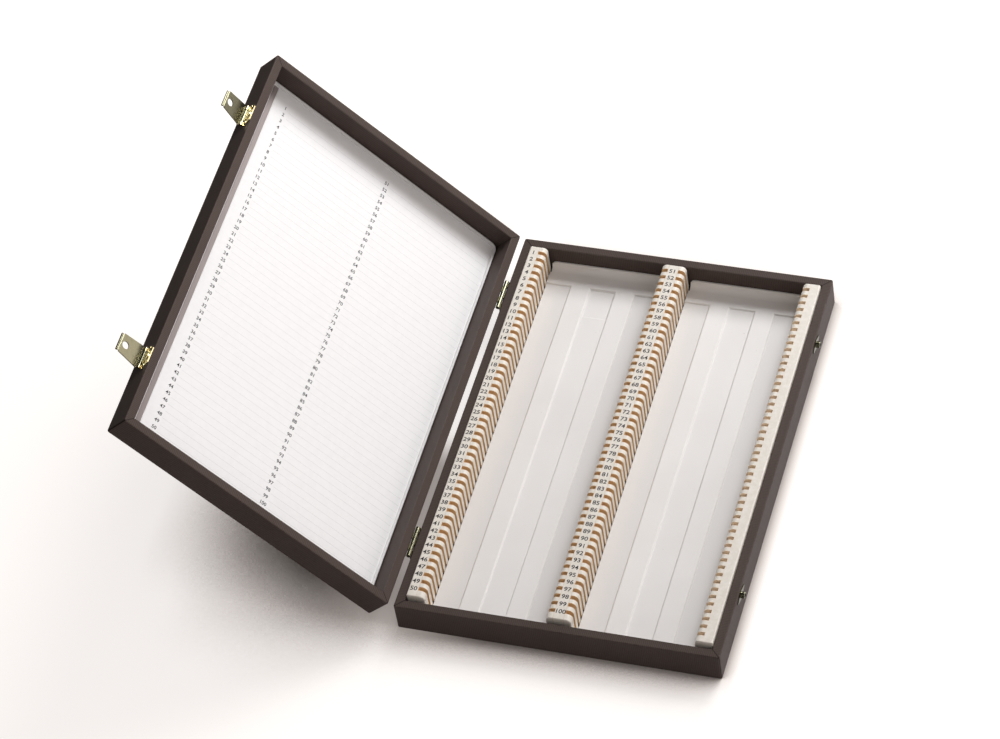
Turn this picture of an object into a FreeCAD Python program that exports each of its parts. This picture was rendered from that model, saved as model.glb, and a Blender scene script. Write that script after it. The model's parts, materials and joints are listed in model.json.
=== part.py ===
import FreeCAD, Part
import math
import os
from FreeCAD import Vector

"""Storage case for a hundred microscope slides, standing open.

A mitred base tray with two formed floor trays and three slotted racks, and a lid of the same
plan hung on two butt hinges and shut by two small hasps that drop over studs on the base.

Frame: millimetres, +Z up. The origin is the centre of the base's underside. +X runs from the
hinge side to the latch side, and +Y from slot 50 to slot 1. The lid is built shut and then
opened about the hinge axis, and each hasp is built shut and then swung out from its wall.
"""

# Case
BASE_HEIGHT = 19.0
LID_HEIGHT = 17.2
WALL = 5.2                  # thickness of every side strip
PANEL = 2.4                 # thickness of the bottom and top boards
REBATE = 2.4                # how far a board reaches under the side strips
BOARD_PLAY = 0.15           # a board's play in its rebate, on each side
RIM_GAP = 0.3               # between the two rims when the lid is shut
CORNER_RADIUS = 1.2         # upright outer corners
EDGE_RADIUS = 0.6           # covered outer edges
INNER_EDGE_RADIUS = 0.4     # covered inner rim edge
SEAT_GAP = 0.3              # side gap between a piece and the wall it stands beside

# Opening
LID_OPEN_DEG = 134.3
REAR_HASP_DEG = 75.5        # how far each hasp is swung out from shut
FRONT_HASP_DEG = 83.5

# Racks
SLIDE_SPAN = 77.0           # slot bottom to slot bottom, for a 76 mm slide
SLOT_COUNT = 50
SLOT_PITCH = 4.98
SLOT_WIDTH = 2.1
SLOT_DEPTH = 4.6            # into the side racks
CENTRE_SLOT_DEPTH = 4.1     # into each side of the centre rack
CENTRE_WEB = 5.9            # left between the centre rack's slots
SIDE_RACK_WIDTH = 10.15
RACK_RISE = 2.0             # rack tops above the base rim
RACK_END_STOCK = 2.5        # left beyond half a pitch past the end slots
RACK_END_GAP = 1.8          # mean gap between a rack's end and the wall
RACK_SHIFT = 0.3            # racks sit this much nearer the rear wall
SLOT_SHIFT = 0.45           # a rack's slots lie this much nearer its rear end
RACK_LIP_RADIUS = 3.0       # top edge on the slotted side
RACK_BACK_RADIUS = 0.8      # top edge on the wall side
RACK_END_RADIUS = 0.7       # top edges at both ends

# Floor trays
TRAY_SHEET = 0.8
TRAY_END_GAP = 0.3          # between a tray's end lip and the wall
COVE_RADIUS = 3.6           # inside radius where the floor turns up
LIP_RISE = 1.1              # upright part of an end lip, above its cove
LIP_CORNER = 3.0
LIP_INSET = 1.3             # end lips stop this far short of the floor's sides
CHANNEL_DEPTH = 0.8
CHANNEL_WIDTH = 15.9        # middle channel
LAND_WIDTH = 10.7
CHANNEL_REAR_GAP = 18.0     # from the rear of the case to the channels' closed ends
CHANNEL_FRONT_GAP = 15.0
LABEL_LENGTH = 21.0
LABEL_DEPTH = 0.3

# Lid lining and card
LINER_SHEET = 0.5
LINER_BEAD_WIDTH = 1.3
LINER_BEAD_HEIGHT = 1.6
LINER_CORNER = 4.0
CARD_THICKNESS = 0.4
CARD_HINGE_GAP = 2.6        # from the hinge-side wall to the card
CARD_LATCH_GAP = 8.9        # from the latch-side wall to the card
CARD_END_GAP = 2.4          # from the end walls to the card

# Butt hinges
HINGE_LENGTH = 20.0
HINGE_FROM_END = 44.0       # hinge middle from the end of the case
HINGE_OFFSET = 1.5          # pin axis outside the hinge wall
HINGE_BARREL_RADIUS = 1.2
HINGE_LEAF = 0.7            # leaf thickness
HINGE_LEAF_HEIGHT = 9.5     # from the pin axis to the leaf's far edge
HINGE_PIN_RADIUS = 0.6
HINGE_KNUCKLES = 5
KNUCKLE_GAP = 0.16          # end play between neighbouring knuckles
LEAF_RELIEF = 1.6           # a leaf stays this far from the other leaf's knuckles
PIN_CLEARANCE = 0.06        # radial running clearance on every hinge pin
HINGE_NAIL_SPREAD = 6.0
HINGE_NAIL_DROP = 5.8       # from the pin axis

# Nails
NAIL_SHANK_RADIUS = 0.5
NAIL_HEAD_RADIUS = 1.1
NAIL_HEAD_HEIGHT = 0.4
NAIL_LENGTH = 4.2           # under the head
NAIL_FIT = 0.05             # radial, in the wall and in the plates

# Hasps
REAR_HASP_FROM_END = 44.9   # hasp middle from the rear of the case
FRONT_HASP_FROM_END = 45.7  # hasp middle from the front of the case
HASP_AXIS_RISE = 7.6        # hasp pin above the lid's rim
HASP_AXIS_OFFSET = 1.35     # hasp pin outside the latch wall
HASP_BARREL_RADIUS = 1.05
HASP_BARREL_LENGTH = 14.0
HASP_CENTRE_KNUCKLE = 9.0   # the flap's knuckle, between the plate's two
HASP_PIN_RADIUS = 0.5
HASP_SHEET = 0.6
HASP_RELIEF = 1.4
HASP_PLATE_HALF_WIDTH = 8.0
HASP_PLATE_FOOT_HALF = 5.0
HASP_PLATE_EDGE = 0.7       # plate's lower edge above the lid's rim
HASP_PLATE_CHAMFER = 3.4
HASP_PAD_RADIUS = 3.8
HASP_PAD_HEIGHT = 0.45
HASP_NAIL_SPREAD = 6.1
HASP_NAIL_RISE = 4.7        # above the lid's rim
FLAP_ROOT_HALF = 7.3
FLAP_TIP_HALF = 6.0
FLAP_HEEL = 0.6             # metal left between the hole and the lip's fold
FLAP_LIP_LENGTH = 0.8
FLAP_LIP_DEG = 24.0         # the lip turns out by this much
FLAP_BEAD_RADIUS = 0.65
FLAP_BEAD_HALF = 5.4

# Keepers
STUD_REACH = 11.8           # stud axis from the hasp pin, when shut
STUD_RADIUS = 1.9
STUD_HEIGHT = 2.7
STUD_BORE_RADIUS = 1.2
STUD_BORE_DEPTH = 1.4
STUD_SHANK_RADIUS = 1.0
STUD_SHANK_LENGTH = 4.0
STUD_CLEARANCE = 0.3        # radial, in the flap's hole
KEEPER_SHEET = 0.5
KEEPER_HALF_LENGTH = 6.6
KEEPER_HALF_HEIGHT = 3.1
KEEPER_TIP_HALF = 0.5

# Worked out from the sizes above
SLOT_BOTTOM_X = CENTRE_WEB / 2 + SLIDE_SPAN
CENTRE_RACK_HALF = CENTRE_WEB / 2 + CENTRE_SLOT_DEPTH
SIDE_RACK_FACE = SLOT_BOTTOM_X - SLOT_DEPTH
SIDE_RACK_BACK = SIDE_RACK_FACE + SIDE_RACK_WIDTH
RACK_HALF_LENGTH = SLOT_PITCH * SLOT_COUNT / 2 + RACK_END_STOCK
INNER_X = SIDE_RACK_BACK + SEAT_GAP
INNER_Y = RACK_HALF_LENGTH + RACK_END_GAP
HALF_WIDTH = INNER_X + WALL
HALF_LENGTH = INNER_Y + WALL
LID_RIM = BASE_HEIGHT + RIM_GAP
LID_TOP = LID_RIM + LID_HEIGHT
HINGE_AXIS = Vector(-HALF_WIDTH - HINGE_OFFSET, 0, BASE_HEIGHT + RIM_GAP / 2)
HASP_AXIS_X = HALF_WIDTH + HASP_AXIS_OFFSET
HASP_AXIS_Z = LID_RIM + HASP_AXIS_RISE
STUD_Z = HASP_AXIS_Z - STUD_REACH
RACK_TOP = BASE_HEIGHT + RACK_RISE
OPENING_TURN = Vector(0, -1, 0)


def block(x0, x1, y0, y1, z0, z1):
    """An upright box between two opposite corners."""
    return Part.makeBox(x1 - x0, y1 - y0, z1 - z0, Vector(x0, y0, z0))


def prism(points, direction):
    """A closed polygon of straight edges, pulled along a direction."""
    wire = Part.makePolygon(points + [points[0]])
    return Part.Face(wire).extrude(direction)


def rod(radius, length, start, direction):
    """A plain round bar."""
    return Part.makeCylinder(radius, length, start, direction)


def joined(first, others):
    """One solid from touching solids, with the seams between flat faces taken out."""
    return first.fuse(others).removeSplitter()


def edges_where(shape, test):
    """The edges whose own bounding box passes a test."""
    return [edge for edge in shape.Edges if test(edge.BoundBox)]


def opened(shape):
    """A lid piece turned from shut to its open rest pose."""
    turned = shape.copy()
    turned.rotate(HINGE_AXIS, OPENING_TURN, LID_OPEN_DEG)
    return turned


def export(name, shape):
    """Write one named piece as STEP."""
    shape.exportStep("parts/" + name + ".step")


# Frames: four mitred strips around a board set in a rebate


def upright(box):
    return box.ZLength > BASE_HEIGHT / 2 and box.XLength < 0.01 and box.YLength < 0.01


def frame_ring(z0, z1, board_z0, board_z1, rim_z):
    """The four side strips as one ring, before the mitres are cut."""
    outer = block(-HALF_WIDTH, HALF_WIDTH, -HALF_LENGTH, HALF_LENGTH, z0, z1)
    outer = outer.makeFillet(CORNER_RADIUS, edges_where(outer, upright))
    flat_edges = edges_where(outer, lambda box: box.ZLength < 0.01)
    outer = outer.makeFillet(EDGE_RADIUS, flat_edges)
    ring = outer.cut(block(-INNER_X, INNER_X, -INNER_Y, INNER_Y, z0 - 1, z1 + 1))

    def inner_rim(box):
        level = abs(box.ZMin - rim_z) < 0.01 and abs(box.ZMax - rim_z) < 0.01
        across = max(abs(box.XMin), abs(box.XMax)) < INNER_X + 0.01
        along = max(abs(box.YMin), abs(box.YMax)) < INNER_Y + 0.01
        return level and across and along

    ring = ring.makeFillet(INNER_EDGE_RADIUS, edges_where(ring, inner_rim))
    seat_x = INNER_X + REBATE
    seat_y = INNER_Y + REBATE
    return ring.cut(block(-seat_x, seat_x, -seat_y, seat_y, board_z0, board_z1))


def mitred_strips(ring, z0, z1):
    """Cut a ring into front, rear, hinge-side and latch-side strips."""
    reach = WALL * 1.5
    outer = [
        (-HALF_WIDTH, -HALF_LENGTH),
        (HALF_WIDTH, -HALF_LENGTH),
        (HALF_WIDTH, HALF_LENGTH),
        (-HALF_WIDTH, HALF_LENGTH),
    ]
    inner = [(x - math.copysign(reach, x), y - math.copysign(reach, y)) for x, y in outer]
    strips = []
    for index in range(4):
        after = (index + 1) % 4
        corners = [outer[index], outer[after], inner[after], inner[index]]
        points = [Vector(x, y, z0) for x, y in corners]
        strips.append(ring.common(prism(points, Vector(0, 0, z1 - z0))).Solids[0])
    front, latch_side, rear, hinge_side = strips
    return {"front": front, "latch_side": latch_side, "rear": rear, "hinge_side": hinge_side}


def board(z0, z1):
    """The bottom or top board, in its rebate."""
    half_x = INNER_X + REBATE - BOARD_PLAY
    half_y = INNER_Y + REBATE - BOARD_PLAY
    return block(-half_x, half_x, -half_y, half_y, z0, z1)


# Nails


def nail(point, direction):
    """A round-headed nail whose head sits at the point and whose shank runs along the direction."""
    head = rod(NAIL_HEAD_RADIUS, NAIL_HEAD_HEIGHT, point, direction * -1)
    crown = [edge for edge in head.Edges if edge.Closed]
    far = max(crown, key=lambda edge: edge.CenterOfMass.sub(point).Length)
    head = head.makeFillet(NAIL_HEAD_HEIGHT * 0.7, [far])
    return joined(head, [rod(NAIL_SHANK_RADIUS, NAIL_LENGTH, point, direction)])


def nail_hole(point, direction):
    """The hole that a nail's shank needs, from its head to a little past its point."""
    start = point.add(direction * -NAIL_HEAD_HEIGHT)
    length = NAIL_LENGTH + NAIL_HEAD_HEIGHT + NAIL_FIT
    return rod(NAIL_SHANK_RADIUS + NAIL_FIT, length, start, direction)


# Racks


def rack_body(x0, x1, radius0, radius1):
    """A bar between two faces, with each top edge rounded and its ends eased."""
    y0 = RACK_SHIFT - RACK_HALF_LENGTH
    y1 = RACK_SHIFT + RACK_HALF_LENGTH
    body = block(x0, x1, y0, y1, PANEL, RACK_TOP)
    for x, radius in ((x0, radius0), (x1, radius1)):

        def top_edge(box, x=x):
            return abs(box.XMin - x) < 0.01 and abs(box.XMax - x) < 0.01 and box.ZMin > RACK_TOP - 0.01

        body = body.makeFillet(radius, edges_where(body, top_edge))

    def end_edge(box):
        return box.ZMin > RACK_TOP - 0.01 and box.YLength < 0.01

    return body.makeFillet(RACK_END_RADIUS, edges_where(body, end_edge))


def slot_cutters(x0, x1):
    """Saw cuts down one side of a rack, from top to bottom."""
    first = RACK_SHIFT + SLOT_SHIFT - SLOT_PITCH * (SLOT_COUNT - 1) / 2 - SLOT_WIDTH / 2
    cuts = []
    for index in range(SLOT_COUNT):
        y = first + index * SLOT_PITCH
        cuts.append(block(x0, x1, y, y + SLOT_WIDTH, PANEL - 1, RACK_TOP + 1))
    return Part.makeCompound(cuts)


def side_rack(side):
    """The rack beside the hinge wall (side -1) or the latch wall (side 1)."""
    face = SIDE_RACK_FACE
    back = SIDE_RACK_BACK
    body = rack_body(face, back, RACK_LIP_RADIUS, RACK_BACK_RADIUS)
    rack = body.cut(slot_cutters(face - 1, SLOT_BOTTOM_X)).Solids[0]
    if side < 0:
        rack = rack.mirror(Vector(0, 0, 0), Vector(1, 0, 0))
    return rack


def centre_rack():
    """The middle rack, slotted on both sides."""
    half = CENTRE_RACK_HALF
    body = rack_body(-half, half, RACK_LIP_RADIUS, RACK_LIP_RADIUS)
    web = CENTRE_WEB / 2
    return body.cut([slot_cutters(-half - 1, -web), slot_cutters(web, half + 1)]).Solids[0]


# Floor trays


def end_cove(x0, x1, floor_z, end_y, way):
    """The turned-up end of a tray: a quarter round from the floor to an upright lip."""
    inside_y = end_y - way * TRAY_SHEET
    centre = Vector(x0, inside_y - way * COVE_RADIUS, floor_z + COVE_RADIUS)
    half_turn = math.sqrt(0.5)
    outer_radius = COVE_RADIUS + TRAY_SHEET
    lip_top = centre.z + LIP_RISE

    def on_arc(radius):
        return Vector(x0, centre.y + way * radius * half_turn, centre.z - radius * half_turn)

    inner_low = Vector(x0, centre.y, floor_z)
    inner_high = Vector(x0, inside_y, centre.z)
    inner_top = Vector(x0, inside_y, lip_top)
    outer_top = Vector(x0, end_y, lip_top)
    outer_high = Vector(x0, end_y, centre.z)
    outer_low = Vector(x0, centre.y, floor_z - TRAY_SHEET)
    edges = [
        Part.Arc(inner_low, on_arc(COVE_RADIUS), inner_high).toShape(),
        Part.LineSegment(inner_high, inner_top).toShape(),
        Part.LineSegment(inner_top, outer_top).toShape(),
        Part.LineSegment(outer_top, outer_high).toShape(),
        Part.Arc(outer_high, on_arc(outer_radius), outer_low).toShape(),
        Part.LineSegment(outer_low, inner_low).toShape(),
    ]
    lip = Part.Face(Part.Wire(edges)).extrude(Vector(x1 - x0, 0, 0))

    def top_corner(box):
        along_y = box.YLength > TRAY_SHEET * 0.9 and box.XLength < 0.01
        return along_y and box.ZMin > lip_top - 0.01

    return lip.makeFillet(LIP_CORNER, edges_where(lip, top_corner))


def floor_tray(x0, x1, with_label):
    """A formed sheet floor with three shallow channels and a lip at each end."""
    land_top = PANEL + TRAY_SHEET + CHANNEL_DEPTH
    front = -INNER_Y + TRAY_END_GAP
    rear = INNER_Y - TRAY_END_GAP
    cove_run = COVE_RADIUS + TRAY_SHEET
    lip_x0 = x0 + LIP_INSET
    lip_x1 = x1 - LIP_INSET
    floor = block(x0, x1, front + cove_run, rear - cove_run, land_top - TRAY_SHEET, land_top)
    ends = [
        end_cove(lip_x0, lip_x1, land_top, rear, 1),
        end_cove(lip_x0, lip_x1, land_top, front, -1),
    ]
    middle = (x0 + x1) / 2
    half = CHANNEL_WIDTH / 2
    y0 = -HALF_LENGTH + CHANNEL_FRONT_GAP
    y1 = HALF_LENGTH - CHANNEL_REAR_GAP
    outer_x = half + LAND_WIDTH
    spans = [
        (x0 + TRAY_SHEET, middle - outer_x),
        (middle - half, middle + half),
        (middle + outer_x, x1 - TRAY_SHEET),
    ]
    troughs = []
    pockets = []
    for span0, span1 in spans:
        wall = TRAY_SHEET
        troughs.append(block(span0 - wall, span1 + wall, y0 - wall, y1 + wall, PANEL, land_top))
        pockets.append(block(span0, span1, y0, y1, PANEL + TRAY_SHEET, land_top + 1))
    if with_label:
        label_z = PANEL + TRAY_SHEET - LABEL_DEPTH
        pockets.append(block(middle - half, middle + half, y1 - LABEL_LENGTH, y1, label_z, land_top))
    return joined(floor, ends + troughs).cut(pockets).Solids[0]


# Lid lining and card


def rounded_plate(half_x, half_y, z0, z1, radius):
    """A plate centred on the case with its upright corners rounded."""
    plate = block(-half_x, half_x, -half_y, half_y, z0, z1)

    def corner(box):
        return box.ZLength > (z1 - z0) * 0.9 and box.XLength < 0.01 and box.YLength < 0.01

    return plate.makeFillet(radius, edges_where(plate, corner))


def lid_liner():
    """A lining sheet against the lid's board, with a low bead all round."""
    board_face = LID_TOP - PANEL
    half_x = INNER_X - SEAT_GAP
    half_y = INNER_Y - SEAT_GAP
    low = board_face - LINER_SHEET - LINER_BEAD_HEIGHT
    tray = rounded_plate(half_x, half_y, low, board_face, LINER_CORNER)
    inner_x = half_x - LINER_BEAD_WIDTH
    inner_y = half_y - LINER_BEAD_WIDTH
    inner_radius = LINER_CORNER - LINER_BEAD_WIDTH
    well = rounded_plate(inner_x, inner_y, low - 1, board_face - LINER_SHEET, inner_radius)
    return tray.cut(well).Solids[0]


def index_card():
    """The printed card that lies in the lid, nearer the hinge side."""
    z1 = LID_TOP - PANEL - LINER_SHEET
    x0 = -INNER_X + CARD_HINGE_GAP
    x1 = INNER_X - CARD_LATCH_GAP
    y1 = INNER_Y - CARD_END_GAP
    return block(x0, x1, -y1, y1, z1 - CARD_THICKNESS, z1)


# Butt hinges


def hinge_spans(middle, own):
    """The stretches of the hinge whose knuckles belong to a leaf (own 0 base, 1 lid)."""
    pitch = HINGE_LENGTH / HINGE_KNUCKLES
    start = middle - HINGE_LENGTH / 2
    spans = []
    for index in range(HINGE_KNUCKLES):
        if index % 2 == own:
            y = start + index * pitch
            spans.append((y + KNUCKLE_GAP / 2, y + pitch - KNUCKLE_GAP / 2))
    return spans


def hinge_leaf(middle, way, own):
    """One leaf on the outside of the hinge wall: way -1 hangs down, way 1 stands up."""
    axis_z = HINGE_AXIS.z
    wall_x = -HALF_WIDTH
    y0 = middle - HINGE_LENGTH / 2
    y1 = middle + HINGE_LENGTH / 2
    near = axis_z + way * LEAF_RELIEF
    far = axis_z + way * HINGE_LEAF_HEIGHT
    leaf = block(wall_x - HINGE_LEAF, wall_x, y0, y1, min(near, far), max(near, far))

    def far_corner(box):
        return box.XLength > HINGE_LEAF * 0.9 and abs(box.ZMin - far) < 0.01 and abs(box.ZMax - far) < 0.01

    leaf = leaf.makeFillet(1.0, edges_where(leaf, far_corner))
    knuckles = []
    for span0, span1 in hinge_spans(middle, own):
        z0 = min(axis_z, near)
        z1 = max(axis_z, near)
        knuckles.append(block(wall_x - HINGE_LEAF, wall_x, span0, span1, z0, z1))
        start = Vector(HINGE_AXIS.x, span0, axis_z)
        knuckles.append(rod(HINGE_BARREL_RADIUS, span1 - span0, start, Vector(0, 1, 0)))
    leaf = joined(leaf, knuckles)
    bore_start = Vector(HINGE_AXIS.x, y0 - 1, axis_z)
    bore = rod(HINGE_PIN_RADIUS + PIN_CLEARANCE, HINGE_LENGTH + 2, bore_start, Vector(0, 1, 0))
    holes = [nail_hole(point, Vector(1, 0, 0)) for point in hinge_nail_points(middle, way)]
    return leaf.cut([bore] + holes).Solids[0]


def hinge_nail_points(middle, way):
    """Where a leaf's two nail heads sit."""
    x = -HALF_WIDTH - HINGE_LEAF
    z = HINGE_AXIS.z + way * HINGE_NAIL_DROP
    return [Vector(x, middle + side * HINGE_NAIL_SPREAD, z) for side in (-1, 1)]


def hinge_pin(middle):
    """The pin, as long as the barrel and a little proud at each end."""
    proud = 0.3
    start = Vector(HINGE_AXIS.x, middle - HINGE_LENGTH / 2 - proud, HINGE_AXIS.z)
    return rod(HINGE_PIN_RADIUS, HINGE_LENGTH + 2 * proud, start, Vector(0, 1, 0))


# Hasps, built shut


def hasp_nail_points(middle):
    """Where the two nail heads of a hasp plate sit."""
    x = HALF_WIDTH + HASP_SHEET
    z = LID_RIM + HASP_NAIL_RISE
    return [Vector(x, middle + side * HASP_NAIL_SPREAD, z) for side in (-1, 1)]


def hasp_plate(middle):
    """The fixed plate on the lid's latch wall, with an end knuckle each side."""
    x0 = HALF_WIDTH
    foot = LID_RIM + HASP_PLATE_EDGE
    shoulder = foot + HASP_PLATE_CHAMFER
    top = HASP_AXIS_Z - HASP_RELIEF
    outline = [
        (-HASP_PLATE_FOOT_HALF, foot),
        (HASP_PLATE_FOOT_HALF, foot),
        (HASP_PLATE_HALF_WIDTH, shoulder),
        (HASP_PLATE_HALF_WIDTH, top),
        (-HASP_PLATE_HALF_WIDTH, top),
        (-HASP_PLATE_HALF_WIDTH, shoulder),
    ]
    points = [Vector(x0, middle + y, z) for y, z in outline]
    plate = prism(points, Vector(HASP_SHEET, 0, 0))
    pad_centre = Vector(x0, middle, top)
    pad = rod(HASP_PAD_RADIUS, HASP_SHEET + HASP_PAD_HEIGHT, pad_centre, Vector(1, 0, 0))
    pad_side = HASP_PAD_RADIUS + 1
    pad = pad.common(block(x0, x0 + pad_side, middle - pad_side, middle + pad_side, foot, top))
    extras = [pad]
    inner_end = HASP_CENTRE_KNUCKLE / 2 + KNUCKLE_GAP
    for side in (-1, 1):
        near = middle + side * inner_end
        far = middle + side * HASP_BARREL_LENGTH / 2
        y0 = min(near, far)
        y1 = max(near, far)
        extras.append(block(x0, x0 + HASP_SHEET, y0, y1, top, HASP_AXIS_Z))
        start = Vector(HASP_AXIS_X, y0, HASP_AXIS_Z)
        extras.append(rod(HASP_BARREL_RADIUS, y1 - y0, start, Vector(0, 1, 0)))
    plate = joined(plate, extras)
    holes = [nail_hole(point, Vector(-1, 0, 0)) for point in hasp_nail_points(middle)]
    return plate.cut([hasp_bore(middle)] + holes).Solids[0]


def hasp_bore(middle):
    """The bore through every knuckle of a hasp."""
    start = Vector(HASP_AXIS_X, middle - HASP_BARREL_LENGTH, HASP_AXIS_Z)
    return rod(HASP_PIN_RADIUS + PIN_CLEARANCE, 2 * HASP_BARREL_LENGTH, start, Vector(0, 1, 0))


def hasp_pin(middle):
    """The pin of a hasp."""
    start = Vector(HASP_AXIS_X, middle - HASP_BARREL_LENGTH / 2, HASP_AXIS_Z)
    return rod(HASP_PIN_RADIUS, HASP_BARREL_LENGTH, start, Vector(0, 1, 0))


def hasp_flap(middle):
    """The swinging flap: a flat tongue with a hole for the stud and a turned-out finger lip."""
    outer = HASP_AXIS_X + HASP_BARREL_RADIUS
    inner = outer - HASP_SHEET
    root = HASP_AXIS_Z - HASP_RELIEF
    tip = STUD_Z - STUD_RADIUS - STUD_CLEARANCE - FLAP_HEEL
    outline = [
        (-FLAP_TIP_HALF, tip),
        (FLAP_TIP_HALF, tip),
        (FLAP_ROOT_HALF, root),
        (-FLAP_ROOT_HALF, root),
    ]
    points = [Vector(inner, middle + y, z) for y, z in outline]
    tongue = prism(points, Vector(HASP_SHEET, 0, 0))
    half = HASP_CENTRE_KNUCKLE / 2
    neck = block(inner, outer, middle - half, middle + half, root, HASP_AXIS_Z)
    barrel_start = Vector(HASP_AXIS_X, middle - half, HASP_AXIS_Z)
    barrel = rod(HASP_BARREL_RADIUS, 2 * half, barrel_start, Vector(0, 1, 0))
    lean = math.radians(FLAP_LIP_DEG)
    lip = block(inner, outer, middle - FLAP_BEAD_HALF, middle + FLAP_BEAD_HALF, tip - FLAP_LIP_LENGTH, tip)
    corner = Vector(outer, middle, tip)
    lip.rotate(corner, OPENING_TURN, FLAP_LIP_DEG)
    wedge_start = Vector(outer, middle - FLAP_BEAD_HALF, tip)
    elbow = rod(HASP_SHEET, 2 * FLAP_BEAD_HALF, wedge_start, Vector(0, 1, 0))
    elbow = elbow.common(block(inner, outer, middle - FLAP_TIP_HALF, middle + FLAP_TIP_HALF, tip - 1, tip))
    reach = FLAP_LIP_LENGTH + FLAP_BEAD_RADIUS / 2
    side = HASP_SHEET / 2
    bead_x = outer + reach * math.sin(lean) - side * math.cos(lean)
    bead_z = tip - reach * math.cos(lean) - side * math.sin(lean)
    bead_start = Vector(bead_x, middle - FLAP_BEAD_HALF, bead_z)
    bead = rod(FLAP_BEAD_RADIUS, 2 * FLAP_BEAD_HALF, bead_start, Vector(0, 1, 0))
    flap = joined(tongue, [neck, barrel, elbow, lip, bead])
    hole_start = Vector(inner - 1, middle, STUD_Z)
    hole = rod(STUD_RADIUS + STUD_CLEARANCE, HASP_SHEET + 2, hole_start, Vector(1, 0, 0))
    return flap.cut([hasp_bore(middle), hole]).Solids[0]


def swung_hasp(shape, middle, degrees):
    """A flap swung out from shut, then carried open with the lid."""
    turned = shape.copy()
    turned.rotate(Vector(HASP_AXIS_X, middle, HASP_AXIS_Z), OPENING_TURN, degrees)
    return opened(turned)


# Keepers on the base


def keeper_plate(middle):
    """A thin plate with two pointed ends, held by the stud through its middle."""
    outline = [
        (-KEEPER_HALF_LENGTH, -KEEPER_TIP_HALF),
        (0, -KEEPER_HALF_HEIGHT),
        (KEEPER_HALF_LENGTH, -KEEPER_TIP_HALF),
        (KEEPER_HALF_LENGTH, KEEPER_TIP_HALF),
        (0, KEEPER_HALF_HEIGHT),
        (-KEEPER_HALF_LENGTH, KEEPER_TIP_HALF),
    ]
    points = [Vector(HALF_WIDTH, middle + y, STUD_Z + z) for y, z in outline]
    plate = prism(points, Vector(KEEPER_SHEET, 0, 0))
    return plate.cut(stud_hole(middle)).Solids[0]


def stud_hole(middle):
    """The hole for a stud's shank, through the keeper plate and into the wall."""
    start = Vector(HALF_WIDTH - STUD_SHANK_LENGTH - NAIL_FIT, middle, STUD_Z)
    length = STUD_SHANK_LENGTH + KEEPER_SHEET + 1
    return rod(STUD_SHANK_RADIUS + NAIL_FIT, length, start, Vector(1, 0, 0))


def keeper_stud(middle):
    """The cupped stud that the hasp drops over, with its shank."""
    out = Vector(1, 0, 0)
    seat = Vector(HALF_WIDTH + KEEPER_SHEET, middle, STUD_Z)
    stud = rod(STUD_RADIUS, STUD_HEIGHT - KEEPER_SHEET, seat, out)
    crown = [edge for edge in stud.Edges if edge.Closed]
    far = max(crown, key=lambda edge: edge.CenterOfMass.x)
    stud = stud.makeFillet(NAIL_HEAD_HEIGHT, [far])
    shank_start = Vector(HALF_WIDTH - STUD_SHANK_LENGTH, middle, STUD_Z)
    shank = rod(STUD_SHANK_RADIUS, STUD_SHANK_LENGTH + KEEPER_SHEET, shank_start, out)
    cup_start = Vector(HALF_WIDTH + STUD_HEIGHT - STUD_BORE_DEPTH, middle, STUD_Z)
    cup = rod(STUD_BORE_RADIUS, STUD_BORE_DEPTH + 1, cup_start, out)
    return joined(stud, [shank]).cut(cup).Solids[0]


def build_base(hinges, hasps):
    """Everything that stays with the base."""
    strips = mitred_strips(frame_ring(0, BASE_HEIGHT, -1, PANEL, BASE_HEIGHT), 0, BASE_HEIGHT)
    inward = Vector(1, 0, 0)
    nail_points = [point for middle in hinges.values() for point in hinge_nail_points(middle, -1)]
    holes = [nail_hole(point, inward) for point in nail_points]
    strips["hinge_side"] = strips["hinge_side"].cut(holes).Solids[0]
    stud_holes = [stud_hole(middle) for middle in hasps.values()]
    strips["latch_side"] = strips["latch_side"].cut(stud_holes).Solids[0]
    for name, strip in strips.items():
        export("base_wall_" + name, strip)
    export("base_bottom_board", board(0, PANEL))
    export("rack_left", side_rack(-1))
    export("rack_centre", centre_rack())
    export("rack_right", side_rack(1))
    near = CENTRE_RACK_HALF + SEAT_GAP
    far = SIDE_RACK_FACE - SEAT_GAP
    export("floor_tray_left", floor_tray(-far, -near, True))
    export("floor_tray_right", floor_tray(near, far, False))
    for name, middle in hinges.items():
        export(name + "_hinge_base_leaf", hinge_leaf(middle, -1, 0))
        export(name + "_hinge_pin", hinge_pin(middle))
    export("base_hinge_nails", Part.makeCompound([nail(point, inward) for point in nail_points]))
    for name, middle in hasps.items():
        export(name + "_keeper_plate", keeper_plate(middle))
        export(name + "_keeper_stud", keeper_stud(middle))


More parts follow.
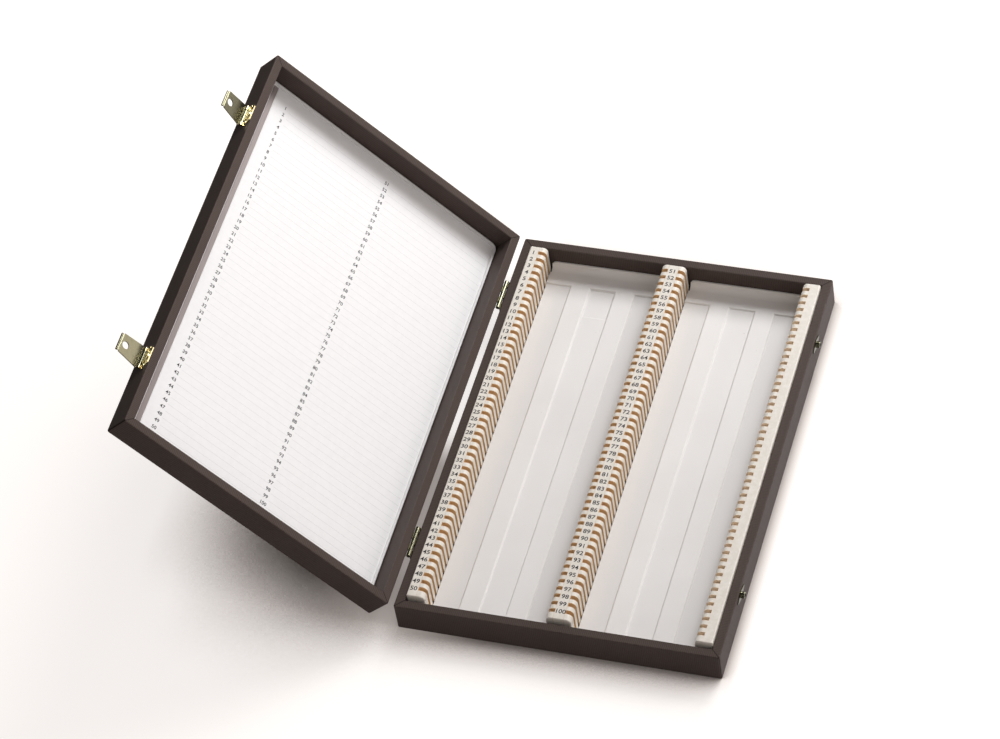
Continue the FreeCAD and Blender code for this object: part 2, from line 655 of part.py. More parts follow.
def build_lid(hinges, hasps):
    """Everything that swings with the lid, and the two flaps on it."""
    ring = frame_ring(LID_RIM, LID_TOP, LID_TOP - PANEL, LID_TOP + 1, LID_RIM)
    strips = mitred_strips(ring, LID_RIM, LID_TOP)
    inward = Vector(1, 0, 0)
    outward = Vector(-1, 0, 0)
    hinge_points = [point for middle in hinges.values() for point in hinge_nail_points(middle, 1)]
    hasp_points = [point for middle in hasps.values() for point in hasp_nail_points(middle)]
    hinge_holes = [nail_hole(point, inward) for point in hinge_points]
    hasp_holes = [nail_hole(point, outward) for point in hasp_points]
    strips["hinge_side"] = strips["hinge_side"].cut(hinge_holes).Solids[0]
    strips["latch_side"] = strips["latch_side"].cut(hasp_holes).Solids[0]
    for name, strip in strips.items():
        export("lid_wall_" + name, opened(strip))
    export("lid_top_board", opened(board(LID_TOP - PANEL, LID_TOP)))
    export("lid_liner", opened(lid_liner()))
    export("index_card", opened(index_card()))
    for name, middle in hinges.items():
        export(name + "_hinge_lid_leaf", opened(hinge_leaf(middle, 1, 1)))
    hinge_nails = [opened(nail(point, inward)) for point in hinge_points]
    hasp_nails = [opened(nail(point, outward)) for point in hasp_points]
    export("lid_hinge_nails", Part.makeCompound(hinge_nails))
    export("hasp_plate_nails", Part.makeCompound(hasp_nails))
    swings = {"rear": REAR_HASP_DEG, "front": FRONT_HASP_DEG}
    for name, middle in hasps.items():
        export(name + "_hasp_plate", opened(hasp_plate(middle)))
        export(name + "_hasp_pin", opened(hasp_pin(middle)))
        export(name + "_hasp_flap", swung_hasp(hasp_flap(middle), middle, swings[name]))


def main():
    os.makedirs("parts", exist_ok=True)
    hinge_y = HALF_LENGTH - HINGE_FROM_END
    hinges = {"rear": hinge_y, "front": -hinge_y}
    hasps = {"rear": HALF_LENGTH - REAR_HASP_FROM_END, "front": FRONT_HASP_FROM_END - HALF_LENGTH}
    build_base(hinges, hasps)
    build_lid(hinges, hasps)


main()
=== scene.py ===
import json
import logging
import math
from contextlib import contextmanager
from dataclasses import dataclass
from enum import Enum
from functools import reduce
from typing import Any, Callable, Iterator, Sequence

import bmesh
import bpy
from mathutils import Matrix, Vector


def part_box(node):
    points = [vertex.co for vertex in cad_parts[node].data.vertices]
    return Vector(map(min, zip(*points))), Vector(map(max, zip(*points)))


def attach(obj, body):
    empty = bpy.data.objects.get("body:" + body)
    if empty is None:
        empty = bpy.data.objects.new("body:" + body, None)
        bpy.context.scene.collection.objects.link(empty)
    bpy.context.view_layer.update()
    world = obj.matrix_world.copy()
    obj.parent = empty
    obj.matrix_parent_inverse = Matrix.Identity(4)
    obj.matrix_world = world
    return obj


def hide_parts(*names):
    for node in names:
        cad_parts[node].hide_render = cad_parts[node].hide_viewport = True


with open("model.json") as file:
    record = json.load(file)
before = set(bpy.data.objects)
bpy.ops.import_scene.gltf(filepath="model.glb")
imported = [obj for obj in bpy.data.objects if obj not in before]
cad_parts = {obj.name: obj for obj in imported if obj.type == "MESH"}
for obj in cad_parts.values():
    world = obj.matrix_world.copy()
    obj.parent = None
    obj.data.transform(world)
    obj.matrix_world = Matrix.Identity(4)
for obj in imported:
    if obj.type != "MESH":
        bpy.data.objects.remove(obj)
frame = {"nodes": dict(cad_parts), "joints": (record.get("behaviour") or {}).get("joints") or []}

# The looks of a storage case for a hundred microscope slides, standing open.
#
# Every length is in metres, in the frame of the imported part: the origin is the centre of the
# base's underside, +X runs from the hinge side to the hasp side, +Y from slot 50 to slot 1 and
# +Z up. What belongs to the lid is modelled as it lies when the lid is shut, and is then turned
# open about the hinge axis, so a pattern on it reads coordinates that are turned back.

LOG = logging.getLogger("slide_case")
MM = 0.001
CLOSE = 1e-6
Colour = tuple[float, float, float]
Triple = tuple[float, float, float]
Span = tuple[float, float]
Box = tuple[Vector, Vector]


# ---------------------------------------------------------------------------------------------
# The frame
# ---------------------------------------------------------------------------------------------


class Body(Enum):
    """The bodies that the pieces made here ride on."""

    BASE = "base"
    LID = "lid"


@dataclass(frozen=True)
class Hinge:
    """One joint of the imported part: where its axis lies and how far it is from shut."""

    centre: Vector
    open_angle: float

    @classmethod
    def from_frame(cls, name: str) -> "Hinge":
        """Read a joint by name.

        Args:
            name: The joint's name in the record.

        Returns:
            The hinge, with the angle in radians that opens it from shut to rest.
        """
        joint = next(j for j in frame["joints"] if j["name"] == name)
        return cls(Vector(joint["pos_m"]), -math.radians(joint["range_deg"][0]))

    def opening(self) -> Matrix:
        """Return the turn from shut to rest, about an axis along -Y."""
        shift = Matrix.Translation(self.centre)
        return shift @ Matrix.Rotation(-self.open_angle, 4, "Y") @ shift.inverted()


LID_HINGE = Hinge.from_frame("lid_hinge")
OPENED = LID_HINGE.opening()


def shut_box(node: str) -> Box:
    """Measure a lid node as it lies when the lid is shut.

    Args:
        node: The CAD node's name.

    Returns:
        Its lowest and highest corners.
    """
    back = OPENED.inverted()
    points = [back @ vertex.co for vertex in frame["nodes"][node].data.vertices]
    low = Vector(tuple(min(p[i] for p in points) for i in range(3)))
    high = Vector(tuple(max(p[i] for p in points) for i in range(3)))
    return low, high


# ---------------------------------------------------------------------------------------------
# Modelling by hand
# ---------------------------------------------------------------------------------------------


class Pick(Enum):
    """What edit mode selects."""

    POINTS = "VERT"
    EDGES = "EDGE"
    FACES = "FACE"


class Bench:
    """The few moves of hand modelling that every piece is made with."""

    @staticmethod
    def clear() -> None:
        """Deselect every object."""
        bpy.ops.object.select_all(action="DESELECT")

    @classmethod
    def only(cls, piece: bpy.types.Object) -> bpy.types.Object:
        """Select one object and make it the active one.

        Args:
            piece: The object.

        Returns:
            The same object.
        """
        cls.clear()
        piece.select_set(True)
        bpy.context.view_layer.objects.active = piece
        return piece

    @classmethod
    def sheet(cls, x: Span, y: Span, z: float) -> bpy.types.Object:
        """Add a flat sheet between two corners.

        Args:
            x: Lowest and highest X.
            y: Lowest and highest Y.
            z: Its height.

        Returns:
            The new object.
        """
        cls.clear()
        bpy.ops.mesh.primitive_plane_add(size=1.0)
        piece = bpy.context.object
        piece.scale = (x[1] - x[0], y[1] - y[0], 1.0)
        piece.location = ((x[0] + x[1]) / 2, (y[0] + y[1]) / 2, z)
        bpy.ops.object.transform_apply(location=True, rotation=True, scale=True)
        return piece

    @classmethod
    @contextmanager
    def editing(cls, piece: bpy.types.Object, kind: Pick, whole: bool = False) -> Iterator[None]:
        """Work in edit mode with nothing or everything selected at first.

        Args:
            piece: The object to edit.
            kind: What is selected while editing.
            whole: Whether everything is selected at first.

        Yields:
            Nothing. Object mode is back when the block ends.
        """
        cls.only(piece)
        bpy.ops.object.mode_set(mode="EDIT")
        bpy.ops.mesh.select_mode(type=kind.value)
        bpy.ops.mesh.select_all(action="SELECT" if whole else "DESELECT")
        yield
        bpy.ops.object.mode_set(mode="OBJECT")

    @staticmethod
    def pick(piece: bpy.types.Object, kind: Pick, test: Callable[[Vector, Any], bool]) -> None:
        """Select the edges or faces whose middle passes a test, and deselect the rest.

        Args:
            piece: The object in edit mode.
            kind: What is tested, edges or faces.
            test: Takes the middle of the element and the element.
        """
        mesh = bmesh.from_edit_mesh(piece.data)
        for group in (mesh.faces, mesh.edges, mesh.verts):
            for element in group:
                element.select_set(False)
        for element in mesh.edges if kind is Pick.EDGES else mesh.faces:
            middle = sum((v.co for v in element.verts), Vector()) / len(element.verts)
            if test(middle, element):
                element.select_set(True)
        mesh.select_flush_mode()
        bmesh.update_edit_mesh(piece.data)

    @staticmethod
    def cut(axis: int, places: Sequence[float]) -> None:
        """Cut the whole mesh in edit mode across one axis.

        Args:
            axis: 0 for X, 1 for Y or 2 for Z.
            places: Where the cuts lie along it.
        """
        normal = [0.0, 0.0, 0.0]
        normal[axis] = 1.0
        for place in places:
            point = [0.0, 0.0, 0.0]
            point[axis] = place
            bpy.ops.mesh.select_all(action="SELECT")
            bpy.ops.mesh.bisect(plane_co=point, plane_no=normal)

    @classmethod
    def modifier(cls, piece: bpy.types.Object, kind: str, **settings: Any) -> None:
        """Add a modifier and apply it.

        Args:
            piece: The object.
            kind: The modifier's type.
            **settings: Its settings by name.
        """
        cls.only(piece)
        made = piece.modifiers.new(kind.title(), kind)
        for name, value in settings.items():
            setattr(made, name, value)
        bpy.ops.object.modifier_apply(modifier=made.name)

    @classmethod
    def smooth(cls, piece: bpy.types.Object, degrees: float = 35.0) -> None:
        """Shade smooth except across sharp edges.

        Args:
            piece: The object.
            degrees: The angle past which an edge stays sharp.
        """
        cls.only(piece)
        bpy.ops.object.shade_smooth_by_angle(angle=math.radians(degrees))

    @classmethod
    def join(cls, pieces: Sequence[bpy.types.Object]) -> bpy.types.Object:
        """Join several objects into the first.

        Args:
            pieces: The objects.

        Returns:
            The joined object.
        """
        cls.clear()
        for piece in pieces:
            piece.select_set(True)
        bpy.context.view_layer.objects.active = pieces[0]
        if len(pieces) > 1:
            bpy.ops.object.join()
        return pieces[0]


@dataclass(frozen=True)
class Seat:
    """Where a finished piece goes: its name, body, slot and final turn."""

    name: str
    body: Body
    slot: str
    turn: Matrix = Matrix.Identity(4)
    replaces: tuple[str, ...] = ()

    def fit(self, piece: bpy.types.Object, finish: bpy.types.Material) -> bpy.types.Object:
        """Name, place, paint and seat a piece.

        Args:
            piece: The modelled object, unturned and unscaled.
            finish: The material it gets.

        Returns:
            The same object.
        """
        piece.name = self.name
        piece.data.name = self.name
        piece.data.transform(self.turn)
        piece.data.materials.clear()
        piece.data.materials.append(finish)
        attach(piece, self.body.value)
        if self.replaces:
            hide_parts(*self.replaces)
        LOG.info("%s: %d faces", self.name, len(piece.data.polygons))
        return piece


# ---------------------------------------------------------------------------------------------
# Shader building
# ---------------------------------------------------------------------------------------------


class Wire:
    """A shader socket that adds its Math nodes when it is used in an expression."""

    def __init__(self, shader: "NodeTree", socket: bpy.types.NodeSocket) -> None:
        """Keep the shader and the socket."""
        self.shader = shader
        self.socket = socket

    def _do(self, operation: str, first: Any, second: Any = None) -> "Wire":
        """Add one Math node and return its result."""
        inputs = {0: first} if second is None else {0: first, 1: second}
        node = self.shader.node("ShaderNodeMath", {"operation": operation}, inputs)
        return Wire(self.shader, node.outputs[0])

    def __add__(self, other: Any) -> "Wire":
        """Add."""
        return self._do("ADD", self, other)

    __radd__ = __add__

    def __sub__(self, other: Any) -> "Wire":
        """Subtract."""
        return self._do("SUBTRACT", self, other)

    def __rsub__(self, other: Any) -> "Wire":
        """Subtract from a number."""
        return self._do("SUBTRACT", other, self)

    def __mul__(self, other: Any) -> "Wire":
        """Multiply."""
        return self._do("MULTIPLY", self, other)

    __rmul__ = __mul__

    def __truediv__(self, other: Any) -> "Wire":
        """Divide."""
        return self._do("DIVIDE", self, other)

    def __gt__(self, other: Any) -> "Wire":
        """Return 1 where it is greater."""
        return self._do("GREATER_THAN", self, other)

    def __lt__(self, other: Any) -> "Wire":
        """Return 1 where it is less."""
        return self._do("LESS_THAN", self, other)

    def size(self) -> "Wire":
        """Return the value without its sign."""
        return self._do("ABSOLUTE", self)

    def part(self) -> "Wire":
        """Return what is left above the whole number below."""
        return self._do("FRACT", self)

    def most(self, other: Any) -> "Wire":
        """Return the greater of two values."""
        return self._do("MAXIMUM", self, other)

    def least(self, other: Any) -> "Wire":
        """Return the lesser of two values."""
        return self._do("MINIMUM", self, other)

    def wave(self) -> "Wire":
        """Return the sine, brought to 0 and 1."""
        return self._do("SINE", self) * 0.5 + 0.5

    def ease(self, low: float, high: float) -> "Wire":
        """Return 0 below one value and 1 above another, with a smooth step between."""
        settings = {"interpolation_type": "SMOOTHSTEP"}
        node = self.shader.node("ShaderNodeMapRange", settings, {0: self, 1: low, 2: high})
        return Wire(self.shader, node.outputs[0])


def any_of(masks: Sequence[Wire]) -> Wire:
    """Return 1 where any of the masks is 1."""
    return reduce(Wire.most, masks)


class NodeTree:
    """A node tree and the moves that add nodes to it."""

    def __init__(self, tree: bpy.types.NodeTree) -> None:
        """Keep the tree."""
        self.tree = tree

    def node(self, kind: str, settings: dict[str, Any], inputs: dict[Any, Any]) -> bpy.types.Node:
        """Add any node.

        Args:
            kind: The node's type.
            settings: Its own settings, set first.
            inputs: Values, sockets or Wires by input name or number.

        Returns:
            The node.
        """
        made = self.tree.nodes.new(kind)
        for name, value in settings.items():
            setattr(made, name, value)
        for key, value in inputs.items():
            self.feed(made.inputs[key], value)
        return made

    def feed(self, socket: bpy.types.NodeSocket, value: Any) -> None:
        """Link or set one input.

        Args:
            socket: The input.
            value: A Wire, a socket or a plain value.
        """
        if isinstance(value, Wire):
            value = value.socket
        if isinstance(value, bpy.types.NodeSocket):
            self.tree.links.new(value, socket)
            return
        if isinstance(value, tuple) and len(value) == 3 and socket.type == "RGBA":
            value = (*value, 1.0)
        socket.default_value = value

    def value(self, kind: str, output: str) -> Wire:
        """Return one output of a node that needs no inputs."""
        return Wire(self, self.node(kind, {}, {}).outputs[output])

    def axes(self, vector: Any) -> tuple[Wire, Wire, Wire]:
        """Split a vector into its X, Y and Z."""
        node = self.node("ShaderNodeSeparateXYZ", {}, {0: vector})
        return Wire(self, node.outputs[0]), Wire(self, node.outputs[1]), Wire(self, node.outputs[2])

    def blend(self, factor: Any, first: Any, second: Any) -> Wire:
        """Mix two colours.

        Args:
            factor: 0 for the first colour and 1 for the second.
            first: A colour or Wire.
            second: A colour or Wire.

        Returns:
            The colour.
        """
        settings = {"data_type": "RGBA", "clamp_factor": True}
        node = self.node("ShaderNodeMix", settings, {"Factor": factor, 6: first, 7: second})
        return Wire(self, node.outputs[2])


class Shader(NodeTree):
    """One material, with a Principled surface."""

    def __init__(self, name: str) -> None:
        """Start a material that has only its output and its surface."""
        self.material = bpy.data.materials.new(name)
        self.material.use_nodes = True
        super().__init__(self.material.node_tree)
        self.surface = self.tree.nodes["Principled BSDF"]

    def coordinates(self, lid: bool) -> Wire:
        """Return object coordinates, turned back to shut on a lid piece.

        Args:
            lid: Whether the piece rides on the lid.

        Returns:
            The vector.
        """
        source = self.node("ShaderNodeTexCoord", {}, {}).outputs["Object"]
        if not lid:
            return Wire(self, source)
        back = OPENED.inverted()
        inputs = {"Vector": source, "Location": back.to_translation(), "Rotation": back.to_euler()}
        node = self.node("ShaderNodeMapping", {"vector_type": "POINT"}, inputs)
        return Wire(self, node.outputs[0])

    def stretched(self, vector: Wire, factors: Triple) -> Wire:
        """Scale a vector along each axis."""
        node = self.node("ShaderNodeVectorMath", {"operation": "MULTIPLY"}, {0: vector, 1: factors})
        return Wire(self, node.outputs[0])

    def noise(self, vector: Wire, scale: float, detail: float = 2.0, rough: float = 0.5) -> Wire:
        """Return a noise value about 0.5.

        Args:
            vector: Where it is read.
            scale: Blotches to the metre.
            detail: Octaves.
            rough: How strong the finer octaves are.

        Returns:
            The value.
        """
        inputs = {"Vector": vector, "Scale": scale, "Detail": detail, "Roughness": rough}
        node = self.node("ShaderNodeTexNoise", {}, inputs)
        return Wire(self, node.outputs["Fac"])

    def facing(self) -> tuple[Wire, Wire, Wire]:
        """Return the surface normal's parts in the piece's own frame."""
        return self.axes(self.value("ShaderNodeTexCoord", "Normal"))

    def relief(self, height: Wire, depth: float, strength: float = 1.0) -> Wire:
        """Return a bumped normal.

        Args:
            height: From 0 to 1.
            depth: What 1 stands for, in metres.
            strength: How much of it is used.

        Returns:
            The normal.
        """
        inputs = {"Height": height, "Distance": depth, "Strength": strength}
        return Wire(self, self.node("ShaderNodeBump", {}, inputs).outputs[0])

    def dress(self, **inputs: Any) -> bpy.types.Material:
        """Feed the Principled surface by input name, with underscores for spaces.

        Args:
            **inputs: Values or Wires.

        Returns:
            The material.
        """
        for name, value in inputs.items():
            self.feed(self.surface.inputs[name.replace("_", " ")], value)
        return self.material


# ---------------------------------------------------------------------------------------------
# Finishes
# ---------------------------------------------------------------------------------------------


class Run(Enum):
    """Which way a covered strip runs."""

    ALONG_X = 0
    ALONG_Y = 1


@dataclass(frozen=True)
class Leatherette:
    """Dark ribbed covering paper, glued over the wood and rubbed paler on its edges.

    The paper is matt, and what little sheen it has is warm. Its folds show as a dark line in
    the mitres, and a pale line of painted highlight runs along the rims' inner edges.
    """

    ground: Colour = (0.049, 0.0360, 0.0315)
    raised: Colour = (0.101, 0.0765, 0.0675)
    # Colour of rubbed edges, also used for the painted highlight along the rims' inner edges.
    worn_and_highlight: Colour = (0.15, 0.13, 0.12)
    mitre: Colour = (0.008, 0.006, 0.005)
    sheen: Colour = (1.0, 0.84, 0.78)
    rib_pitch: float = 1.05 * MM
    rib_depth: float = 0.09 * MM
    seam_half: float = 0.45 * MM
    wall: float = 5.2 * MM
    edge_reach: float = 0.55 * MM
    highlight_half: float = 0.22 * MM

    def build(self, name: str, run: Run, lid: bool, box: Box) -> bpy.types.Material:
        """Make the covering of one strip or board.

        Args:
            name: The material's name.
            run: Which way the strip runs, so that its ribs lie across it.
            lid: Whether it is on the lid.
            box: The whole tray's corners, whose edges are worn.

        Returns:
            The material.
        """
        shader = Shader(name)
        place = shader.coordinates(lid)
        x, y, z = shader.axes(place)
        along = x if run is Run.ALONG_X else y
        drift = shader.noise(place, 160.0, 2.0)
        ribs = (along * (math.tau / self.rib_pitch) + drift * 5.0).wave()
        fibre = shader.noise(place, 2600.0, 3.0, 0.65)
        cloud = shader.noise(place, 42.0, 3.0)
        weave = ribs * 0.4 + fibre * 0.6
        tone = weave * 1.1 + cloud * 0.35 - 0.27
        colour = shader.blend(tone, self.ground, self.raised)
        edge = self.edges((x, y, z), box)
        wear = edge * shader.noise(place, 520.0, 3.0, 0.7).ease(0.38, 0.62)
        colour = shader.blend(wear * 0.55, colour, self.worn_and_highlight)
        # Painted highlight: a pale line along the rims' inner edges, in the rubbed-edge colour.
        colour = shader.blend(self.inner_edge_highlight((x, y, z), box) * 0.4, colour, self.worn_and_highlight)
        colour = shader.blend(self.seam((x, y, z), box) * 0.85, colour, self.mitre)
        bump = shader.relief(weave, self.rib_depth, 0.55)
        rough = 0.52 - weave * 0.14 + wear * 0.1
        return shader.dress(
            Base_Color=colour, Roughness=rough, Normal=bump, Specular_IOR_Level=0.11,
            Specular_Tint=self.sheen,
        )

    def gaps(self, place: Sequence[Wire], box: Box) -> list[Wire]:
        """Return how far a place lies inside the box along each axis."""
        low, high = box
        middle = (low + high) / 2
        half = (high - low) / 2
        return [half[axis] - (place[axis] - middle[axis]).size() for axis in range(3)]

    def seam(self, place: Sequence[Wire], box: Box) -> Wire:
        """Return 1 along the mitred folds of the paper on the rims' corners."""
        across, along, _ = self.gaps(place, box)
        fold = 1.0 - (across - along).size().ease(self.seam_half * 0.4, self.seam_half)
        return fold * (across < self.wall)

    def inner_edge_highlight(self, place: Sequence[Wire], box: Box) -> Wire:
        """Return 1 along the rims' inner edges, where a pale line of painted highlight lies."""
        across, along, up = self.gaps(place, box)
        nearest = (across - self.wall).size().least((along - self.wall).size())
        within = (across > self.wall - self.highlight_half) * (along > self.wall - self.highlight_half)
        line = 1.0 - nearest.ease(self.highlight_half * 0.5, self.highlight_half)
        return line * within * (up < self.edge_reach)

    def edges(self, place: Sequence[Wire], box: Box) -> Wire:
        """Return 1 along the tray's outer edges, fading to 0 on its faces."""
        near = [1.0 - gap.ease(0.0, self.edge_reach) for gap in self.gaps(place, box)]
        pair_xy = near[0] * near[1]
        pair_xz = near[0] * near[2]
        pair_yz = near[1] * near[2]
        return pair_xy.most(pair_xz).most(pair_yz)


@dataclass(frozen=True)
class RackPaint:
    """Ivory paint on the racks, with bare sawn wood inside the cuts and at their frayed mouths.

    The sides of a cut are bare from its bottom to the rack's face, and the reach is how far past
    those they are looked for. The run half bounds all the cuts along Y. A cut's bottom is bare to
    the depth of the skin.
    """

    paint: Colour = (0.84, 0.80, 0.735)
    shadow: Colour = (0.76, 0.715, 0.64)
    wood: Colour = (0.78, 0.565, 0.34)
    wood_dark: Colour = (0.61, 0.40, 0.21)
    slot_half: float = 1.05 * MM
    frayed: float = 0.24 * MM
    run_half: float = 124.5 * MM
    reach: float = 0.05 * MM
    skin: float = 0.06 * MM

    def build(
        self, name: str, spans: Sequence[Span], rows: "Rows",
    ) -> bpy.types.Material:
        """Make the rack's material.

        Args:
            name: The material's name.
            spans: For each run of cuts, the X of its bottom and of the rack's face.
            rows: Where the cuts lie along Y.

        Returns:
            The material.
        """
        shader = Shader(name)
        place = shader.coordinates(False)
        x, y, _ = shader.axes(place)
        _, normal_y, _ = shader.facing()
        cut_side = normal_y.size().ease(0.9, 0.97)
        inside = any_of([(x > min(cut) - self.reach) * (x < max(cut) + self.reach) for cut in spans])
        bottoms = any_of([(x - bottom).size() < self.skin for bottom, _ in spans])
        bare = cut_side * inside * (y.size() < self.run_half)
        blotch = shader.noise(place, 900.0, 3.0, 0.6)
        step = (rows.first - y) / rows.pitch
        off_cut = ((step + 0.5).part() - 0.5).size() * rows.pitch
        mouth = off_cut + (blotch - 0.5) * self.frayed < self.slot_half + self.frayed
        counted = (step > -0.5) * (step < rows.count - 0.5)
        bare = bare.most(bottoms).most(mouth * inside * counted)
        rough_edge = (blotch - 0.5) * 0.4
        bare = (bare + rough_edge * bare).ease(0.35, 0.65)
        grain_place = shader.stretched(place, (1.0, 1.0, 0.12))
        grain = shader.noise(grain_place, 2400.0, 3.0, 0.65)
        wood = shader.blend(grain, self.wood_dark, self.wood)
        speck = shader.noise(place, 340.0, 4.0, 0.6)
        paint = shader.blend(speck.ease(0.35, 0.75), self.shadow, self.paint)
        colour = shader.blend(bare, paint, wood)
        height = blotch * 0.5 + grain * 0.5
        bump = shader.relief(height, 0.06 * MM, 0.6)
        rough = 0.42 + bare * 0.4 + speck * 0.08
        return shader.dress(
            Base_Color=colour, Roughness=rough, Normal=bump, Specular_IOR_Level=0.45,
        )


@dataclass(frozen=True)
class FormedSheet:
    """Thin white sheet, pressed to shape, with a faint satin grain."""

    colour: Colour = (0.84, 0.82, 0.80)
    tired: Colour = (0.78, 0.755, 0.735)
    # Painted shade for the floors of the sunk channels.
    channel_shade: Colour = (0.70, 0.68, 0.665)
    specks: Colour = (0.45, 0.40, 0.36)
    roughness: float = 0.46

    def build(self, name: str, lid: bool, sunk: Vector | None = None) -> bpy.types.Material:
        """Make the sheet's material.

        Args:
            name: The material's name.
            lid: Whether it is in the lid.
            sunk: Where a floor sheet's sunk channels get painted shade, if anywhere: X is its middle
            line on either side of the case, Y how far out from it the painted shade is darkest and Z
            the height below which it starts.

        Returns:
            The material.
        """
        shader = Shader(name)
        place = shader.coordinates(lid)
        cloud = shader.noise(place, 24.0, 3.0)
        grain = shader.noise(place, 1500.0, 3.0, 0.6)
        speck = shader.noise(place, 700.0, 1.0).ease(0.78, 0.82)
        colour = shader.blend(cloud.ease(0.3, 0.8) * 0.6, self.colour, self.tired)
        colour = shader.blend(speck * 0.35, colour, self.specks)
        if sunk is not None:
            across, _, height = shader.axes(place)
            low = 1.0 - (height - sunk.z).ease(-0.1 * MM, 0.1 * MM)
            outer = (across.size() - sunk.x).size().ease(sunk.y - 1.0 * MM, sunk.y)
            # Painted shade: the channels' floors are darker, the outer ones beside the racks most.
            colour = shader.blend(low * (outer * 0.62 + 0.08), colour, self.channel_shade)
        bump = shader.relief(grain + cloud * 2.0, 0.03 * MM, 0.35)
        rough = grain * 0.12 + self.roughness - 0.06
        return shader.dress(
            Base_Color=colour, Roughness=rough, Normal=bump, Specular_IOR_Level=0.5,
        )


@dataclass(frozen=True)
class CardStock:
    """White index card with faint ruled lines, one for each number."""

    colour: Colour = (0.91, 0.905, 0.91)
    fibre: Colour = (0.88, 0.875, 0.88)
    rule: Colour = (0.56, 0.55, 0.57)
    rule_width: float = 0.16 * MM

    def build(self, name: str, rows: "Rows", starts: Sequence[float], end: float) -> bpy.types.Material:
        """Make the card's material.

        Args:
            name: The material's name.
            rows: Where the numbered lines lie along Y.
            starts: X just past each column of numbers.
            end: X where the last rules stop.

        Returns:
            The material.
        """
        shader = Shader(name)
        place = shader.coordinates(True)
        x, y, _ = shader.axes(place)
        step = (rows.first + rows.drop - y) / rows.pitch
        line = ((step + 0.5).part() - 0.5).size() < self.rule_width / rows.pitch / 2
        stretch = (step > -0.5) * (step < rows.count - 0.5)
        stops = [start + rows.column_room for start in starts[1:]] + [end]
        ruled = any_of([(x < start) * (x > stop) for start, stop in zip(starts, stops)])
        ink = line * stretch * ruled
        cloud = shader.noise(place, 320.0, 4.0, 0.6)
        colour = shader.blend(cloud.ease(0.3, 0.8), self.colour, self.fibre)
        colour = shader.blend(ink * 0.75, colour, self.rule)
        bump = shader.relief(shader.noise(place, 2200.0, 3.0), 0.02 * MM, 0.4)
        return shader.dress(
            Base_Color=colour, Roughness=cloud * 0.1 + 0.5, Normal=bump, Specular_IOR_Level=0.4,
        )


@dataclass(frozen=True)
class Ink:
    """Matt black printing ink, a little thin in places."""

    colour: Colour = (0.022, 0.020, 0.022)
    thin: Colour = (0.06, 0.055, 0.055)

    def build(self, name: str) -> bpy.types.Material:
        """Return the ink's material."""
        shader = Shader(name)
        cloud = shader.noise(shader.coordinates(False), 1500.0, 3.0, 0.7)
        colour = shader.blend(cloud.ease(0.5, 0.75), self.colour, self.thin)
        return shader.dress(Base_Color=colour, Roughness=cloud * 0.2 + 0.5, Specular_IOR_Level=0.3)


@dataclass(frozen=True)
class Brass:
    """Thin bright brass, with a greenish tarnish that gathers in patches."""

    bright: Colour = (0.19, 0.185, 0.125)
    dull: Colour = (0.13, 0.125, 0.08)
    roughness: float = 0.16

    def build(self, name: str) -> bpy.types.Material:
        """Return the brass material."""
        shader = Shader(name)
        place = shader.coordinates(False)
        cloud = shader.noise(place, 260.0, 4.0, 0.65)
        fine = shader.noise(place, 1900.0, 2.0)
        colour = shader.blend(cloud.ease(0.5, 0.8), self.bright, self.dull)
        bump = shader.relief(cloud * 0.7 + fine * 0.3, 0.01 * MM, 0.12)
        rough = cloud * 0.10 + fine * 0.04 + self.roughness
        return shader.dress(Base_Color=colour, Metallic=1.0, Roughness=rough, Normal=bump)


# ---------------------------------------------------------------------------------------------
# Printing
# ---------------------------------------------------------------------------------------------


@dataclass(frozen=True)
class Rows:
    """Evenly spaced numbered lines, counted from the rear.

    The drop is how far along Y a ruled line lies from its number's middle. The column room is how
    much of X a column of numbers keeps free of rules.
    """

    first: float
    pitch: float
    count: int = 50
    drop: float = -1.6 * MM
    column_room: float = 3.4 * MM


@dataclass(frozen=True)
class NumberColumn:
    """A column of plain printed numbers."""

    start: int
    rows: Rows
    centre_x: float
    height: float
    widening: float = 1.0
    thickness: float = 0.04 * MM
    digit_share: float = 0.73
    boldness: float = 0.016

    def build(self, mirrored: bool) -> bpy.types.Object:
        """Set the numbers in the XY plane at Z 0, their tops towards +Y.

        Args:
            mirrored: Whether they are read from below, with their right towards -X.

        Returns:
            One mesh of all the numbers.
        """
        Bench.clear()
        bpy.ops.object.text_add()
        text = bpy.context.object
        size = self.height / self.digit_share
        count = self.rows.count
        text.data.body = "\n".join(str(self.start + index) for index in range(count))
        text.data.size = size
        text.data.space_line = self.rows.pitch / size
        text.data.align_x = "CENTER"
        text.data.extrude = self.thickness / 2
        text.data.offset = size * self.boldness
        text.data.resolution_u = 3
        Bench.only(text)
        bpy.ops.object.convert(target="MESH")
        piece = bpy.context.object
        lowest = self.rows.first - self.height / 2
        place = Matrix.Translation((self.centre_x, lowest, 0.0))
        place = place @ Matrix.Diagonal((self.widening, 1.0, 1.0, 1.0))
        if mirrored:
            place = place @ Matrix.Rotation(math.pi, 4, "Y")
        piece.data.transform(place)
        return piece


# ---------------------------------------------------------------------------------------------
# Sub-assemblies
# ---------------------------------------------------------------------------------------------


